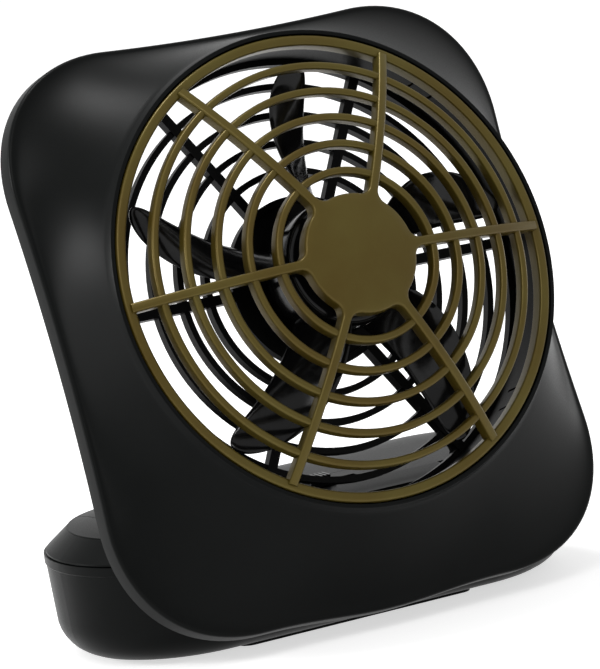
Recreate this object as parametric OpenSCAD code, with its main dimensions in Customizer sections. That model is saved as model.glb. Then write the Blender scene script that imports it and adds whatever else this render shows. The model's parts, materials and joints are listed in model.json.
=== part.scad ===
// Folding camping fan: a square dished fan head hinged on a battery base.
// Base frame: X to the right, Y to the back, Z up, origin at the centre of the underside.
// Head frame (module on_head): X to the right, Y up the face, Z out of the face,
// origin at the centre of the guard's rim.

/* [Head] */
// Lean of the face, measured back from upright
lean = 20; // [18:1:24]
// Height of the guard's centre above the table
face_z = 107; // [106:0.5:109]
// Distance of the guard's centre in front of the base's centre
face_y = 32.5; // [32:0.5:34]
// Half width of the bezel outline before its sides are pinched
bezel_half_w = 85.6; // [84:0.1:86]
// Half height of the bezel outline before its sides are pinched
bezel_half_h = 91.8; // [90:0.1:92]
// Corner radius of the bezel outline
bezel_corner = 43.9; // [40:0.1:46]
// How far each side of the outline is pinched in at its middle
bezel_pinch = 4.9; // [0:0.1:6]
// Depth from the guard's rim back to the edge of the dished face
dish_depth = 24.2; // [22:0.1:26]
// Wall thickness of the bezel
bezel_wall = 2; // [1.6:0.1:2.4]

/* [Guard] */
// Outer radius of the guard's rim
rim_r = 70; // [69.5:0.1:70]
// Height of the guard's dome above its rim
dome_h = 16.5; // [12:0.5:18]
// Number of rings in the guard
ring_count = 5; // [3:1:6]
// Radius of the smallest ring
first_ring_r = 25.1; // [23:0.1:27]
// Step from one ring to the next
ring_step = 8.6; // [8:0.1:8.8]
// Radius of the plain disc in the middle
disc_r = 17.9; // [16:0.1:19]

/* [Rotor] */
// Number of blades
blade_count = 5; // [3:1:7]
// Radius to the blade tips
blade_tip_r = 63; // [56:0.2:63]
// Radius of the rotor's hub
hub_r = 19; // [18:0.5:20]

/* [Base] */
// Half length of the base at its seam
base_half_l = 85; // [84:0.5:85.5]
// Half depth of the base at its seam
base_half_d = 36; // [35.5:0.1:36]
// Height of the seam between the lower and upper shells
seam_z = 31.5; // [31.3:0.1:31.7]
// Height of the flat top
base_top = 39.9; // [39.7:0.1:40.1]
// Height of the tilt hinge above the table
hinge_z = 41.5; // [41:0.1:41.5]
// Radius of a battery cell
cell_r = 16.7; // [16:0.1:16.7]

/* [Hidden] */
$fn = 72;
eps = 0.01;
gap = 0.3;

black_plastic = [0.07, 0.07, 0.075];
gloss_black = [0.04, 0.04, 0.045];
olive = [0.55, 0.47, 0.2];
steel = [0.72, 0.72, 0.74];
brass_tone = [0.8, 0.63, 0.3];
lead_black = [0.12, 0.12, 0.12];

// ---------- Shared shapes ----------

function flatten(lists) = [for (list = lists) each list];

// Solid through a stack of rings that all have the same number of points
module loft(rings) {
    n = len(rings[0]);
    last = len(rings) - 1;
    sides = [for (k = [0 : last - 1], i = [0 : n - 1]) each let (
        a = k * n + i,
        b = k * n + (i + 1) % n
    ) [[a, b + n, b], [a, a + n, b + n]]];
    bottom = [for (i = [0 : n - 1]) i];
    top = [for (i = [n - 1 : -1 : 0]) last * n + i];
    polyhedron(flatten(rings), concat([bottom, top], sides));
}

// Closed hoop: each section is a closed outline, and the last joins the first
module hoop(sections) {
    m = len(sections[0]);
    n = len(sections);
    sides = [for (k = [0 : n - 1], j = [0 : m - 1]) each let (
        a = k * m + j,
        b = k * m + (j + 1) % m,
        c = ((k + 1) % n) * m + j,
        d = ((k + 1) % n) * m + (j + 1) % m
    ) [[a, d, b], [a, c, d]]];
    polyhedron(flatten(sections), sides);
}

function unit(v) = v / norm(v);

// Round wire along a list of points; aim is any direction the wire never runs in
module wire(points, r, aim) {
    last = len(points) - 1;
    wire_sides = 8;
    loft([for (i = [0 : last]) let (
        run = unit(points[min(i + 1, last)] - points[max(i - 1, 0)]),
        side = unit(cross(aim, run)),
        rise = cross(run, side)
    ) [for (k = [0 : wire_sides - 1]) let (a = 360 * k / wire_sides)
        points[i] + r * cos(a) * side + r * sin(a) * rise]]);
}

module both_sides() {
    children();
    mirror([1, 0, 0])
        children();
}

// A screw standing on Z, its head's underside at the origin and its shank upwards
module screw(head_r, head_h, shank_r, shank_l) {
    difference() {
        union() {
            translate([0, 0, -head_h])
                cylinder(r = head_r, h = head_h, $fn = 32);
            translate([0, 0, -eps])
                cylinder(r = shank_r, h = shank_l, $fn = 24);
        }
        for (turn = [0, 90])
            rotate([0, 0, turn])
                translate([-head_r * 0.6, -0.3, -head_h - eps])
                    cube([head_r * 1.2, 0.6, head_h * 0.6]);
    }
}

module tube(r_out, r_in, from_z, to_z) {
    rotate_extrude()
        translate([r_in, from_z])
            square([r_out - r_in, to_z - from_z]);
}

// A cylinder that lies along X between two places
module bar_x(r, from_x, to_x) {
    translate([from_x, 0, 0])
        rotate([0, 90, 0])
            cylinder(r = r, h = to_x - from_x, $fn = 48);
}

// ---------- Head: places and outlines ----------

module on_head() {
    translate([0, -face_y, face_z])
        rotate([90 - lean, 0, 0])
            children();
}

lip_r = 71.7;
lip_in = rim_r + gap;
lip_side = 3;
collar_r = 72.3;
collar_back = -13;
skirt_back = -31.2;
edge_round = 1.2;
outline_drop = 7.85;
side_steps = 10;
corner_steps = 12;
bottom_swell = 0.69;
swell_reach = 30;

shroud_out = rim_r;
shroud_in = 67.6;
shroud_front = -4.8;
shroud_back = -20.5;
guard_back = -4.5;
rear_front = -17.5;
spoke_count = 6;
spoke_w = 2.9;
spoke_rise = 0.3;
spoke_depth = 4.3;
ring_w = 2.3;
ring_h = 3.7;
ring_soft = 0.6;
ring_base = 4;
rear_spoke_w = 3;
rear_ring_w = 1.9;
flange_r = 72.3;
flange_back = -16;
flange_t = 1.6;
plate_r = first_ring_r + rear_ring_w / 2;
plate_t = 2;
cup_r = 15;
cup_in = 12.6;
cup_front = -11;
cup_floor = 1.5;
terminal_angle = 300;
terminal_r = 8;
terminal_y = 2.6;
// Each ear: angle, radius, height of the bezel's dished wall there and that wall's slope
ears = [[45, 80, -12.4, 44], [135, 80, -12.4, 44], [225, 84, -13.2, 35], [315, 84, -13.2, 35]];
boss_out = 3.2;
boss_bore = 1.45;
housing_screw_l = 4.8;
ear_r = 4.6;
ear_arm = 4;
ear_front = -18.5;
clip_angles = [45, 135, 225, 315];
leg_in = 68.9;
leg_out = 69.9;
leg_w = 6.6;
leg_end = -10.6;
ridge_h = 0.3;
tab_skin = 1.1;
slit_w = 0.8;

// Plain rounded rectangle, counted anticlockwise from its right side
function rounded_outline(half_w, half_h, r) = [
    for (corner = [[1, 1, 0], [-1, 1, 90], [-1, -1, 180], [1, -1, 270]])
        each concat(
            [for (i = [0 : corner_steps]) let (a = corner[2] + 90 * i / corner_steps)
                [corner[0] * (half_w - r) + r * cos(a), corner[1] * (half_h - r) + r * sin(a)]],
            [for (i = [1 : side_steps - 1]) let (t = i / side_steps)
                corner[0] * corner[1] > 0
                    ? [corner[0] * (half_w - r) * (1 - 2 * t), corner[1] * half_h]
                    : [corner[0] * half_w, corner[1] * (half_h - r) * (1 - 2 * t)]]
        )
];

// Pinch the middle of each side inwards, the bottom side less than the others
function pinched(p, half_w, half_h) = let (
    u = p[0] / half_w,
    v = p[1] / half_h,
    calm = p[1] < 0 ? 1 - bottom_swell * exp(-pow(p[0] / swell_reach, 2)) : 1
) [
    p[0] * (1 - bezel_pinch / half_w * (1 - v * v)),
    p[1] * (1 - bezel_pinch / half_h * (1 - u * u) * calm) - outline_drop
];

function bezel_outline(inset) = [
    for (p = rounded_outline(bezel_half_w - inset, bezel_half_h - inset, bezel_corner - inset))
        pinched(p, bezel_half_w - inset, bezel_half_h - inset)
];

// Depth of the dished face, from 0 at the lip to 1 at the outline
function dish_fall(t) = 1 - pow(1 - t, 1.35);

function toward(p, r, z) = [p[0] * r / norm(p), p[1] * r / norm(p), z];
function between(p, r, t, z) = toward(p, r + (norm(p) - r) * t, z);
function at_z(p, z) = [p[0], p[1], z];

dish_steps = [0.12, 0.26, 0.42, 0.58, 0.74, 0.88];
dish_span = dish_depth - lip_side;
dish_wall = 2.6;

function dish_z(t) = -lip_side - dish_span * dish_fall(t);

// One closed section of the bezel, through the outline point p and its twin q on the inside
function bezel_section(p, edge, q) = concat(
    [toward(p, lip_in, 0), toward(p, lip_r, 0), toward(p, collar_r, -lip_side)],
    [for (t = dish_steps) between(edge, collar_r, t, dish_z(t))],
    [at_z(edge, -dish_depth), at_z(p, -dish_depth - edge_round), at_z(p, skirt_back),
        at_z(q, skirt_back), at_z(q, -dish_depth - bezel_wall)],
    [for (i = [len(dish_steps) - 1 : -1 : 0]) let (t = dish_steps[i])
        between(q, collar_r, t, dish_z(t) - dish_wall)],
    [toward(p, collar_r, -lip_side - dish_wall), toward(p, collar_r, collar_back),
        toward(p, lip_in, collar_back)]
);

// Screw boss behind the dished face, its top cut to the slope of the face
module bezel_boss(face_at, slope) {
    difference() {
        tube(boss_out, boss_bore, ear_front, face_at + boss_out);
        translate([0, 0, face_at])
            rotate([0, slope, 0])
                translate([-2 * boss_out, -2 * boss_out, 0])
                    cube(4 * boss_out);
    }
}

module front_bezel() color(black_plastic) on_head() {
    outer = bezel_outline(0);
    edge = bezel_outline(edge_round);
    inner = bezel_outline(bezel_wall);
    hoop([for (i = [0 : len(outer) - 1]) bezel_section(outer[i], edge[i], inner[i])]);
    for (ear = ears)
        rotate([0, 0, ear[0]])
            translate([ear[1], 0, 0])
                bezel_boss(ear[2], ear[3]);
}

// ---------- Head: guard ----------

function dome_z(r) = dome_h * (1 - pow(r / rim_r, 2));
function ring_r(i) = first_ring_r + ring_step * i;

module bar_section(width, height, soft) {
    polygon([
        [-width / 2, 0], [width / 2, 0], [width / 2, height - soft],
        [width / 2 - soft, height], [soft - width / 2, height], [-width / 2, height - soft]
    ]);
}

module guard_spoke() {
    inner = disc_r - 2;
    outer = rim_r - 1.6;
    steps = 14;
    radii = [for (i = [0 : steps]) inner + (outer - inner) * i / steps];
    rotate([90, 0, 0])
        translate([0, 0, -spoke_w / 2])
            linear_extrude(spoke_w)
                polygon(concat(
                    [for (r = radii) [r, min(dome_z(r) + spoke_rise, dome_z(disc_r) - 0.2)]],
                    [for (i = [steps : -1 : 0]) [radii[i], dome_z(radii[i]) - spoke_depth]]
                ));
}

// Concave flare where a spoke meets the disc
module spoke_root() {
    reach = 5;
    flare = 2.6;
    steps = 6;
    side = [for (i = [0 : steps]) let (t = i / steps)
        [disc_r - 1 + reach * t, spoke_w / 2 + flare * pow(1 - t, 2)]];
    back = [for (i = [steps : -1 : 0]) [side[i][0], -side[i][1]]];
    translate([0, 0, dome_z(disc_r) - 3.6])
        linear_extrude(3)
            polygon(concat(side, back));
}

// Snap leg behind the shroud's tab, with a low ridge on its inner side
module guard_clip() {
    translate([leg_in, -leg_w / 2, leg_end])
        cube([leg_out - leg_in, leg_w, guard_back - leg_end + 0.5]);
    translate([leg_in - ridge_h, -leg_w / 2, leg_end + 1])
        cube([2 * ridge_h, leg_w, 1.2]);
}

module front_guard() color(olive) on_head() {
    rotate_extrude($fn = 120)
        polygon([
            [66.8, guard_back], [rim_r, guard_back], [rim_r, -0.9], [rim_r - 0.8, 0.2],
            [rim_r - 2.4, 0.4], [66.8, -0.6]
        ]);
    for (i = [0 : ring_count - 1])
        translate([0, 0, dome_z(ring_r(i)) - ring_base])
            rotate_extrude($fn = 96)
                translate([ring_r(i), 0])
                    bar_section(ring_w, ring_h, ring_soft);
    for (i = [0 : spoke_count - 1])
        rotate([0, 0, i * 360 / spoke_count]) {
            guard_spoke();
            spoke_root();
        }
    rotate_extrude()
        polygon([
            [0, 17], [8, 16.9], [13.5, 16.5], [16.6, 15.9], [disc_r, 14.8], [disc_r, 11.4],
            [disc_r - 2.2, 11.4], [disc_r - 2.2, 13.6], [0, 13.9]
        ]);
    for (angle = clip_angles)
        rotate([0, 0, angle])
            guard_clip();
}

// ---------- Head: rear housing and hinge arms ----------

hinge_y = -22.4;
hinge_dy = hinge_y + face_y;
hinge_dz = hinge_z - face_z;
hinge_v = hinge_dy * sin(lean) + hinge_dz * cos(lean);
hinge_n = -hinge_dy * cos(lean) + hinge_dz * sin(lean);
knuckle_r = 4.6;
pin_r = 2;
arm_x = 50;
arm_w = 5;
lug_x = 43;
lug_w = 5;

module hinge_arm() {
    difference() {
        union() {
            translate([arm_x, 0, 0])
                rotate([90, 0, 90])
                    linear_extrude(arm_w)
                        polygon([
                            [hinge_v - 7.5, ear_front], [hinge_v + 8, ear_front],
                            [hinge_v + knuckle_r - 0.4, hinge_n], [hinge_v - knuckle_r + 0.4, hinge_n]
                        ]);
            translate([0, hinge_v, hinge_n])
                bar_x(knuckle_r, arm_x, arm_x + arm_w);
            difference() {
                translate([arm_x - 6, hinge_v - 10, shroud_back])
                    cube([13, 24, ear_front - shroud_back]);
                translate([0, 0, shroud_back - 1])
                    cylinder(r = shroud_out - 1, h = 4);
            }
        }
        translate([0, hinge_v, hinge_n])
            bar_x(pin_r + 0.05, arm_x - 1, arm_x + arm_w + 1);
    }
}

// Room for a snap leg in the outer half of the shroud's wall, and two slits that free a tab inside it
module clip_pocket() {
    pocket_w = leg_w + 1;
    skin_r = shroud_in + tab_skin;
    translate([skin_r, -pocket_w / 2, leg_end - 0.4])
        cube([4, pocket_w, shroud_front - leg_end + 2]);
    translate([skin_r - ridge_h, -pocket_w / 2, leg_end + 0.6])
        cube([1, pocket_w, 2]);
    for (side = [-1, 1])
        translate([shroud_in - 1, side * (pocket_w - slit_w) / 2 - slit_w / 2, leg_end - 0.4])
            cube([3, slit_w, shroud_front - leg_end + 2]);
}

module housing_ear(reach) {
    difference() {
        union() {
            translate([reach, 0, shroud_back])
                cylinder(r = ear_r, h = ear_front - shroud_back, $fn = 40);
            translate([shroud_out - 1.2, -ear_arm, shroud_back])
                cube([reach - shroud_out + 1.2, 2 * ear_arm, ear_front - shroud_back]);
        }
        translate([reach, 0, shroud_back - 1])
            cylinder(r = 1.6, h = 4, $fn = 24);
    }
}

module rear_housing() color(black_plastic) on_head() {
    difference() {
        union() {
            rotate_extrude($fn = 120)
                polygon([
                    [66, shroud_back], [shroud_out, shroud_back],
                    [shroud_out, flange_back], [flange_r, flange_back],
                    [flange_r, flange_back + flange_t], [shroud_out, flange_back + flange_t],
                    [shroud_out, shroud_front], [shroud_in, shroud_front],
                    [shroud_in, rear_front], [66, rear_front]
                ]);
            for (i = [1 : ring_count - 1])
                tube(ring_r(i) + rear_ring_w / 2, ring_r(i) - rear_ring_w / 2, shroud_back, rear_front);
            for (i = [0 : spoke_count - 1])
                rotate([0, 0, i * 360 / spoke_count])
                    translate([plate_r - 0.5, -rear_spoke_w / 2, shroud_back + 0.2])
                        cube([shroud_in - plate_r, rear_spoke_w, rear_front - shroud_back + 0.2]);
            rotate_extrude()
                polygon([
                    [0, shroud_back], [plate_r, shroud_back], [plate_r, rear_front],
                    [plate_r - rear_ring_w, rear_front], [plate_r - rear_ring_w, shroud_back + plate_t],
                    [cup_r, shroud_back + plate_t], [cup_r, cup_front], [cup_in, cup_front],
                    [cup_in, shroud_back + cup_floor], [0, shroud_back + cup_floor]
                ]);
            for (ear = ears)
                rotate([0, 0, ear[0]])
                    housing_ear(ear[1]);
        }
        for (angle = clip_angles)
            rotate([0, 0, angle])
                clip_pocket();
        for (side = [-1, 1])
            rotate([0, 0, terminal_angle])
                translate([terminal_r, terminal_y * side, shroud_back - 1])
                    cylinder(r = 1.5, h = 4, $fn = 24);
        translate([0, 0, shroud_back - 1])
            cylinder(r = 2.4, h = 4, $fn = 32);
    }
    both_sides()
        hinge_arm();
}

module housing_screws() color(steel) on_head() {
    for (ear = ears)
        rotate([0, 0, ear[0]])
            translate([ear[1], 0, shroud_back])
                screw(2.7, 1.3, 1.4, housing_screw_l);
}

// ---------- Head: motor ----------

can_r = 12.2;
can_in = 11.5;
can_back = -16.8;
can_front = -4.5;
shaft_r = 1;

module motor_can() color(steel) on_head() {
    rotate_extrude()
        polygon([
            [can_r, can_back], [can_r, can_front - 1], [can_r - 1, can_front], [3.2, can_front],
            [3.2, can_front + 1.1], [2.4, can_front + 1.1], [2.4, can_front - 0.8],
            [can_in, can_front - 0.8], [can_in, can_back]
        ]);
}

module motor_end_cap() color([0.85, 0.84, 0.78]) on_head() {
    difference() {
        union() {
            translate([0, 0, shroud_back + cup_floor])
                cylinder(r = can_r, h = can_back - shroud_back - cup_floor);
            tube(can_in - 0.05, 9.6, can_back - eps, can_back + 1.2);
        }
        translate([0, 0, shroud_back])
            cylinder(r = 2.2, h = 6, $fn = 32);
        for (side = [-1, 1])
            rotate([0, 0, terminal_angle])
                translate([terminal_r, terminal_y * side, shroud_back])
                    cube([1, 2.6, 12], center = true);
    }
}

module motor_magnets() color([0.28, 0.28, 0.3]) on_head() {
    for (turn = [0, 180])
        rotate([0, 0, turn - 60])
            rotate_extrude(angle = 120)
                translate([9.1, -15.2])
                    square([can_in - 0.05 - 9.1, 9]);
}

module motor_bearings() color(brass_tone) on_head() {
    tube(2.35, shaft_r + 0.04, can_front - 0.8, can_front + 1.1);
    tube(2.15, shaft_r + 0.04, -19, -17.2);
}

// Two terminals that run through the end cap and turn in to the commutator
module motor_brushes() color(brass_tone) on_head() {
    for (side = [-1, 1])
        rotate([0, 0, terminal_angle]) {
            translate([terminal_r, terminal_y * side, -19.2])
                cube([0.6, 2, 6.4], center = true);
            translate([2.3, terminal_y * side - 0.3, -16.1])
                cube([terminal_r - 2, 0.6, 0.5]);
        }
}

module motor_clamp() color(gloss_black) on_head() {
    tube(cup_r, can_r + 0.1, cup_front, cup_front + 1.2);
}

module motor_shaft() color(steel) on_head() {
    translate([0, 0, -18.9])
        cylinder(r = shaft_r, h = 23.4, $fn = 48);
}

pole_count = 3;

// Wound armature: a core with three poles, each with its curved shoe
module motor_armature() color([0.6, 0.36, 0.18]) on_head() {
    difference() {
        union() {
            translate([0, 0, -14.2])
                cylinder(r = 3.2, h = 7.6);
            for (i = [0 : pole_count - 1])
                rotate([0, 0, i * 360 / pole_count]) {
                    translate([2, -1.6, -13.4])
                        cube([5.2, 3.2, 6]);
                    rotate([0, 0, -48])
                        rotate_extrude(angle = 96)
                            translate([6.6, -13.6])
                                square([2, 6.4]);
                }
        }
        translate([0, 0, -15])
            cylinder(r = shaft_r + 0.02, h = 10, $fn = 48);
    }
}

module commutator() color([0.75, 0.42, 0.22]) on_head() {
    difference() {
        translate([0, 0, -16.6])
            cylinder(r = 2, h = 2.2, $fn = 48);
        translate([0, 0, -17])
            cylinder(r = shaft_r + 0.02, h = 4, $fn = 48);
        for (i = [0 : pole_count - 1])
            rotate([0, 0, i * 360 / pole_count])
                translate([1.6, -0.1, -17])
                    cube([1, 0.2, 4]);
    }
}

// ---------- Head: rotor ----------

rib_count = 6;
blade_stations = 12;
blade_root_r = hub_r - 1.4;
first_blade = 17.7;
blade_t = 1.7;
blade_edge = [[-1, 0], [-0.8, -0.4], [0, -0.5], [0.8, -0.4], [1, 0], [0.8, 0.4], [0, 0.5], [-0.8, 0.4]];

// Smooth curve from a to c that is drawn towards b, for t from 0 to 1
function bend(a, b, c, t) = a * pow(1 - t, 2) + 2 * b * t * (1 - t) + c * t * t;

// The blade's shape from its root, t = 0, to its tip, t = 1
function blade_r(t) = blade_root_r + (blade_tip_r - blade_root_r) * t;
function blade_half_chord(t) = bend(10.2, 10.2, 6.9, t) * sqrt(1 - pow(t, 9.9)) + 0.1;
function blade_sweep(t) = bend(1, 7.8, -8.6, t);
function blade_pitch(t) = 59 - 48 * t;
function blade_mid_z(t) = -0.6 - 6.8 * t;

// One swept and twisted blade along X: a section of eight points at each station
module blade() {
    loft([for (i = [0 : blade_stations]) let (
        t = 1 - pow(1 - i / blade_stations, 1.5),
        half = blade_half_chord(t),
        pitch = blade_pitch(t)
    ) [for (e = blade_edge) [
        blade_r(t),
        e[0] * half * cos(pitch) - e[1] * blade_t * sin(pitch) + blade_sweep(t),
        e[0] * half * sin(pitch) + e[1] * blade_t * cos(pitch) + blade_mid_z(t)
    ]]]);
}

module fan_rotor() color(gloss_black) on_head() {
    difference() {
        union() {
            rotate_extrude()
                polygon([
                    [17, -9], [hub_r, -9], [hub_r, 4.6], [hub_r - 0.8, 6.2], [hub_r - 2.6, 7],
                    [0, 7.4], [0, 5.2], [17, 4.8]
                ]);
            translate([0, 0, -2])
                cylinder(r = 3.6, h = 8, $fn = 40);
            for (i = [0 : rib_count - 1])
                rotate([0, 0, (i + 0.5) * 360 / rib_count])
                    translate([3, -0.6, 2.4])
                        cube([14.5, 1.2, 3]);
            for (i = [0 : blade_count - 1])
                rotate([0, 0, first_blade + i * 360 / blade_count])
                    blade();
        }
        translate([0, 0, -3])
            cylinder(r = shaft_r + 0.02, h = 7.6, $fn = 48);
    }
}

// ---------- Leads ----------

lead_r = 0.6;
lead_n = shroud_back - lead_r - 0.05;
lead_cross_x = 38;

// From the motor down a rear spoke and back to the hinge line
module head_lead(offset) {
    along = [cos(terminal_angle), sin(terminal_angle)];
    across = [-sin(terminal_angle), cos(terminal_angle)];
    function spot(r, n) = [along[0] * r + across[0] * offset, along[1] * r + across[1] * offset, n];
    wire([
        spot(11, lead_n - 0.3), spot(20, lead_n), spot(63, lead_n), spot(66.5, lead_n - 2.2),
        [lead_cross_x + offset - 0.4, hinge_v + 2.6, hinge_n + 2.2],
        [lead_cross_x + offset, hinge_v, hinge_n + 0.9]
    ], lead_r, [1, 0.35, 0]);
}

module head_leads() color(lead_black) on_head() {
    head_lead(-0.65);
    head_lead(0.65);
}

// ---------- Base shells ----------

draft = 2.4;
fillet = 12;
corner_r = 35.5;
front_stretch = 1.2;
foot_h = 0.9;
foot_plate = [80, 47];
foot_corner = 4;
wall = 2;
top_wall = 2.2;
plan_steps = 20;
fillet_step = 10;
rim_low = 28.6;
rim_out = 0.1;

// Rounded rectangle at one height, inset from the seam's outline; its front corners are longer along X
function plan(inset, z) = let (
    half_l = base_half_l - inset,
    half_d = base_half_d - inset,
    r = min(corner_r, half_d - 0.4)
) [
    for (corner = [[1, 1, 0], [-1, 1, 90], [-1, -1, 180], [1, -1, 270]], i = [0 : plan_steps])
        let (
            a = corner[2] + 90 * i / plan_steps,
            r_x = corner[1] < 0 ? r * front_stretch : r
        )
        [corner[0] * (half_l - r_x) + r_x * cos(a), corner[1] * (half_d - r) + r * sin(a), z]
];

function side_inset(z) = draft * (1 - z / seam_z);

// Outlines of the rounded lower edge, from the floor up to the straight side
function fillet_rings(inset, floor_z) = let (curve = fillet - inset) [
    for (a = [0 : fillet_step : 90])
        plan(side_inset(fillet) + inset + curve * (1 - sin(a)), floor_z + curve * (1 - cos(a)))
];

module lower_form(inset, floor_z, top_z) {
    loft(concat(
        fillet_rings(inset, floor_z),
        [plan(side_inset(top_z - 2) + inset, top_z - 2), plan(inset, top_z)]
    ));
}

// The outside of the lower shell, with a slightly proud rim below the seam
module lower_outside() {
    loft(concat(
        fillet_rings(0, foot_h),
        [plan(side_inset(rim_low), rim_low), plan(-rim_out, rim_low + 0.4), plan(-rim_out, seam_z)]
    ));
}

slope_in = 7;
slope_top = 37.8;
groove = 0.5;

module upper_form(inset, drop, from_z) {
    loft([
        plan(0.5 + inset, from_z),
        plan(0.6 + inset * 1.1, from_z + 0.5),
        plan(slope_in + inset * 1.1, slope_top - drop),
        plan(slope_in + groove + inset, slope_top - drop + 0.1),
        plan(slope_in + groove + inset, slope_top - drop + 0.5),
        plan(slope_in + 2.4 + inset, base_top - drop - 1.35),
        plan(slope_in + 6 + inset, base_top - drop - 0.7),
        plan(slope_in + 11 + inset, base_top - drop - 0.25),
        plan(slope_in + 18 + inset, base_top - drop)
    ]);
}

bay_y = 12.5;
floor_top = 3;
cell_z = floor_top + gap + cell_r;
cell_l = 60;
nub_l = 1.5;
cell_grey = [0.2, 0.22, 0.26];
lid_front = -2.7;
lid_half_l = 66;
bay_left = -71;
bay_right = 62.6;
boss_r = 3.6;
screw_spots = [[14, -18.5], [60, -12]];
screw_hole_top = 37;
pad_spot = [32, 15];
pad_r = 5;
pad_t = 1.15;

module bay_walls() {
    intersection() {
        lower_form(wall / 2, floor_top / 2, seam_z);
        union() {
            for (x = [bay_left - 2, bay_right])
                translate([x, bay_y - 15, floor_top - 1])
                    cube([2, 40, 24]);
            translate([bay_left, bay_y - cell_r - 2.2, floor_top - 1])
                cube([bay_right - bay_left, 1.6, 12]);
        }
    }
}

lid_axis_y = base_half_d + 1.8;
lid_axis_z = seam_z + 0.2;
barrel_r = 2;
lid_barrel = [34, 43.6];
base_barrel = [44, 52];
lid_pin_r = 0.8;

// A cylinder along the lid's hinge line
module on_lid_axis(r, from_x, to_x) {
    translate([0, lid_axis_y, lid_axis_z])
        bar_x(r, from_x, to_x);
}

module base_lower_shell() color(black_plastic) {
    difference() {
        union() {
            difference() {
                union() {
                    lower_outside();
                    linear_extrude(foot_h + 0.5)
                        offset(foot_corner)
                            square(foot_plate - 2 * [foot_corner, foot_corner], center = true);
                }
                difference() {
                    lower_form(wall, floor_top, seam_z + 2);
                    both_sides()
                        for (spot = screw_spots)
                            translate([spot[0], spot[1], -1])
                                cylinder(r = boss_r, h = seam_z + 1, $fn = 40);
                }
            }
            bay_walls();
            both_sides()
                difference() {
                    union() {
                        on_lid_axis(barrel_r, base_barrel[0], base_barrel[1]);
                        translate([base_barrel[0], base_half_d - 1.2, seam_z - 4])
                            cube([base_barrel[1] - base_barrel[0], 1.8, 3.2]);
                    }
                    translate([base_barrel[0] - 1, base_half_d - 3, seam_z - eps])
                        cube([base_barrel[1] - base_barrel[0] + 2, 2.4, 4]);
                }
        }
        both_sides() {
            on_lid_axis(lid_pin_r, base_barrel[0] - 1, base_barrel[1] + 1);
            on_lid_axis(barrel_r + gap, lid_barrel[0] - 0.4, lid_barrel[1] + gap);
            for (spot = screw_spots)
                translate([spot[0], spot[1], -1]) {
                    cylinder(r = 1.5, h = seam_z + 4, $fn = 24);
                    cylinder(r = 3, h = 5, $fn = 32);
                }
            for (side = [-1, 1])
                translate([pad_spot[0], side * pad_spot[1], -1])
                    cylinder(r = pad_r + 0.2, h = pad_t + 1.05, $fn = 40);
        }
    }
}

upper_z = seam_z + gap;
pocket_r = knuckle_r + 0.7;
block = [22, 18];

module lid_space(play) {
    translate([-lid_half_l - play, lid_front - play, seam_z])
        cube([2 * (lid_half_l + play), 60, 20]);
}

knob_x = -4;
knob_y = -13;
knob_travel = 8;
switch_body_size = [20, 7, 5.3];
knob_plate = [10, 6, 1.5];
knob_grip = [7.2, 5.2, 3];

module switch_cuts() {
    translate([knob_x - 7, knob_y - 4, base_top - 0.8])
        cube([14 + knob_travel, 8, 2]);
    translate([knob_x - 1.9, knob_y - 1.4, base_top - 4])
        cube([3.8 + knob_travel, 2.8, 6]);
}

// Shallow notch in front of the lid, for a fingertip
module finger_notch() {
    translate([17, lid_front - 4.4, base_top - 1.2])
        cube([13, 4.4, 3]);
}

module base_upper_shell() color(black_plastic) {
    difference() {
        union() {
            difference() {
                upper_form(0, 0, upper_z);
                difference() {
                    upper_form(wall, top_wall, upper_z - 0.6);
                    both_sides() {
                        translate([lug_x - 1, -base_half_d, 0])
                            cube([block[0], block[1], 60]);
                        for (spot = screw_spots)
                            translate([spot[0], spot[1], 0])
                                cylinder(r = boss_r, h = base_top, $fn = 40);
                    }
                }
            }
            both_sides()
                translate([0, hinge_y, hinge_z]) {
                    bar_x(knuckle_r, lug_x, lug_x + lug_w);
                    translate([lug_x, -knuckle_r, -4])
                        cube([lug_w, 2 * knuckle_r, 4]);
                }
        }
        lid_space(0);
        both_sides() {
            translate([0, hinge_y, hinge_z]) {
                bar_x(pocket_r, lug_x + lug_w, arm_x + arm_w + 2.6);
                bar_x(pin_r, lug_x - 2, lug_x + lug_w + 1);
                translate([lug_x + lug_w, -20, -2.9])
                    rotate([-12, 0, 0])
                        translate([0, 0, -2.4])
                            cube([arm_x + arm_w + 2.6 - lug_x - lug_w, 20, 12]);
            }
            for (spot = screw_spots)
                translate([spot[0], spot[1], 0])
                    cylinder(r = 1.5, h = screw_hole_top, $fn = 24);
        }
        translate([lead_cross_x - 2.6, hinge_y - 2.8, seam_z])
            cube([5.2, 8, base_top - seam_z + 1]);
        switch_cuts();
        finger_notch();
    }
}

module battery_lid() color(black_plastic) {
    difference() {
        union() {
            intersection() {
                difference() {
                    upper_form(0, 0, upper_z);
                    upper_form(wall, top_wall, upper_z - 0.6);
                }
                lid_space(-0.25);
            }
            both_sides() {
                on_lid_axis(barrel_r, lid_barrel[0], lid_barrel[1]);
                translate([lid_barrel[0], base_half_d - 2, seam_z + 0.7])
                    cube([lid_barrel[1] - lid_barrel[0], 2.6, 1.5]);
            }
        }
        both_sides()
            on_lid_axis(lid_pin_r + 0.05, lid_barrel[0] - 1, lid_barrel[1] + 1);
    }
}

module lid_hinge_pins() color(steel) {
    both_sides()
        on_lid_axis(lid_pin_r, lid_barrel[0] + 0.5, base_barrel[1] - 0.2);
}

module hinge_pins() color(steel) {
    both_sides()
        translate([0, hinge_y, hinge_z]) {
            bar_x(pin_r, lug_x, arm_x + arm_w + 0.5);
            bar_x(3.4, arm_x + arm_w + 0.3, arm_x + arm_w + 2);
        }
}

module friction_washers() color([0.9, 0.9, 0.86]) {
    both_sides()
        translate([0, hinge_y, hinge_z])
            difference() {
                bar_x(knuckle_r - 0.3, lug_x + lug_w, arm_x - 0.1);
                bar_x(pin_r + 0.02, lug_x, arm_x + 1);
            }
}

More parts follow.
